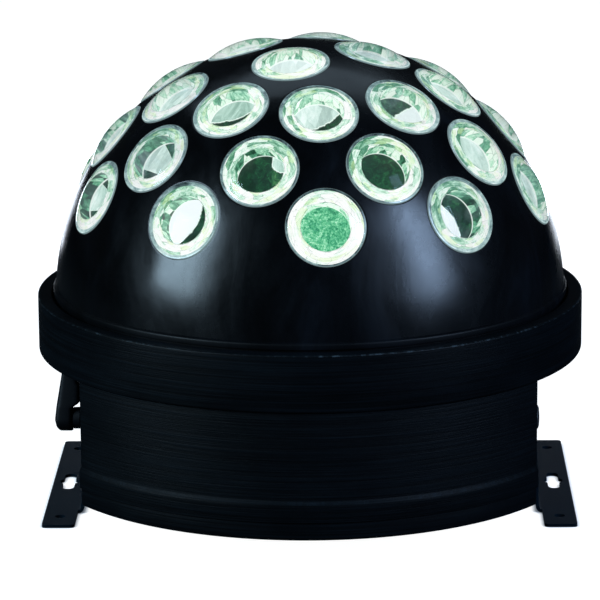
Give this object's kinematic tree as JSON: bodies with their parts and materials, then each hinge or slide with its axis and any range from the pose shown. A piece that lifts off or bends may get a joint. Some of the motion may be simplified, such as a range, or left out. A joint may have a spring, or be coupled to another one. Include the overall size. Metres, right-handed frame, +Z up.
{
  "type": "led dome effect light",
  "caption": "Half-ball stage effect light: a black turning dome set with clear lenses, on a flat-sided round housing with two swinging slotted feet and a clamp lever.",
  "frame": {"origin": "on the floor under the middle of the dome and the collar ring", "axes": "+Z up, the dome's turning axis; -Y is the front that the picture shows, +Y is the socket panel, +X is the side without the clamp lever"},
  "size_m": [0.34, 0.34, 0.2849],
  "materials": {
    "dome_black": "glossy moulded black with a soft blue-grey sheen",
    "lens_clear": "clear polished optical plastic, lit white-green from inside",
    "housing_black": "satin black with fine lines round the wall",
    "panel_black": "fine textured black powder coat",
    "foot_black": "satin black powder coat on bent steel sheet",
    "black_steel": "black plated steel",
    "lever_black": "moulded black plastic, fine texture",
    "inlet_black": "moulded black plastic",
    "button_grey": "dark grey moulded plastic",
    "display_smoked": "smoked dark red window",
    "zinc_sheet": "zinc plated steel",
    "shaft_steel": "ground steel",
    "heatsink_alloy": "plain extruded alloy",
    "led_white": "white solder mask with clear emitter domes",
    "board_green": "green circuit board"
  },
  "bodies": {
    "housing": {"base_pan": "housing_black", "side_wall": "housing_black", "top_ring": "housing_black", "rear_panel": "panel_black", "chassis_plate": "zinc_sheet", "gear_motor": "zinc_sheet", "led_heatsink": "heatsink_alloy", "led_board": "led_white", "power_supply": "heatsink_alloy", "control_board": "board_green", "right_pivot_bolt": "black_steel", "dmx_in": "black_steel", "dmx_out": "black_steel", "power_inlet": "inlet_black", "display_window": "display_smoked"},
    "dome": {"dome_shell": "dome_black", "dome_spider": "zinc_sheet", "drive_shaft": "shaft_steel", "lens_01": "lens_clear", "lens_02": "lens_clear", "lens_03": "lens_clear", "lens_04": "lens_clear", "lens_05": "lens_clear", "lens_06": "lens_clear", "lens_07": "lens_clear", "lens_08": "lens_clear", "lens_09": "lens_clear", "lens_10": "lens_clear", "lens_11": "lens_clear", "lens_12": "lens_clear", "lens_13": "lens_clear", "lens_14": "lens_clear", "lens_15": "lens_clear", "lens_16": "lens_clear", "lens_17": "lens_clear", "lens_18": "lens_clear", "lens_19": "lens_clear", "lens_20": "lens_clear", "lens_21": "lens_clear", "lens_22": "lens_clear", "lens_23": "lens_clear", "lens_24": "lens_clear", "lens_25": "lens_clear", "lens_26": "lens_clear", "lens_27": "lens_clear", "lens_28": "lens_clear", "lens_29": "lens_clear", "lens_30": "lens_clear", "lens_31": "lens_clear", "lens_32": "lens_clear", "lens_33": "lens_clear", "lens_34": "lens_clear"},
    "left_foot": {"left_bracket": "foot_black"},
    "right_foot": {"right_bracket": "foot_black"},
    "clamp": {"clamp_lever": "lever_black"},
    "fuse_holder": {"fuse_drawer": "inlet_black"},
    "menu_button_1": {"menu_button_1": "button_grey"},
    "menu_button_2": {"menu_button_2": "button_grey"},
    "menu_button_3": {"menu_button_3": "button_grey"},
    "menu_button_4": {"menu_button_4": "button_grey"}
  },
  "joints": [
    {"name": "dome_spin", "type": "hinge", "parent": "housing", "child": "dome", "pos_m": [0, 0, 0.1256], "axis": [0, 0, 1], "continuous": true},
    {"name": "left_foot_swing", "type": "hinge", "parent": "housing", "child": "left_foot", "pos_m": [-0.1405, 0, 0.044], "axis": [1, 0, 0], "range_deg": [-45, 45]},
    {"name": "right_foot_swing", "type": "hinge", "parent": "housing", "child": "right_foot", "pos_m": [0.1405, 0, 0.044], "axis": [1, 0, 0], "range_deg": [-45, 45]},
    {"name": "clamp_turn", "type": "hinge", "parent": "housing", "child": "clamp", "pos_m": [-0.15, 0, 0.044], "axis": [1, 0, 0], "range_deg": [-90, 90]},
    {"name": "fuse_slide", "type": "slide", "parent": "housing", "child": "fuse_holder", "axis": [0, 1, 0], "range_m": [0, 0.018]},
    {"name": "button_press_1", "type": "slide", "parent": "housing", "child": "menu_button_1", "axis": [0, -1, 0], "range_m": [0, 0.001], "stiffness_N_per_m": 400},
    {"name": "button_press_2", "type": "slide", "parent": "housing", "child": "menu_button_2", "axis": [0, -1, 0], "range_m": [0, 0.001], "stiffness_N_per_m": 400},
    {"name": "button_press_3", "type": "slide", "parent": "housing", "child": "menu_button_3", "axis": [0, -1, 0], "range_m": [0, 0.001], "stiffness_N_per_m": 400},
    {"name": "button_press_4", "type": "slide", "parent": "housing", "child": "menu_button_4", "axis": [0, -1, 0], "range_m": [0, 0.001], "stiffness_N_per_m": 400}
  ]
}
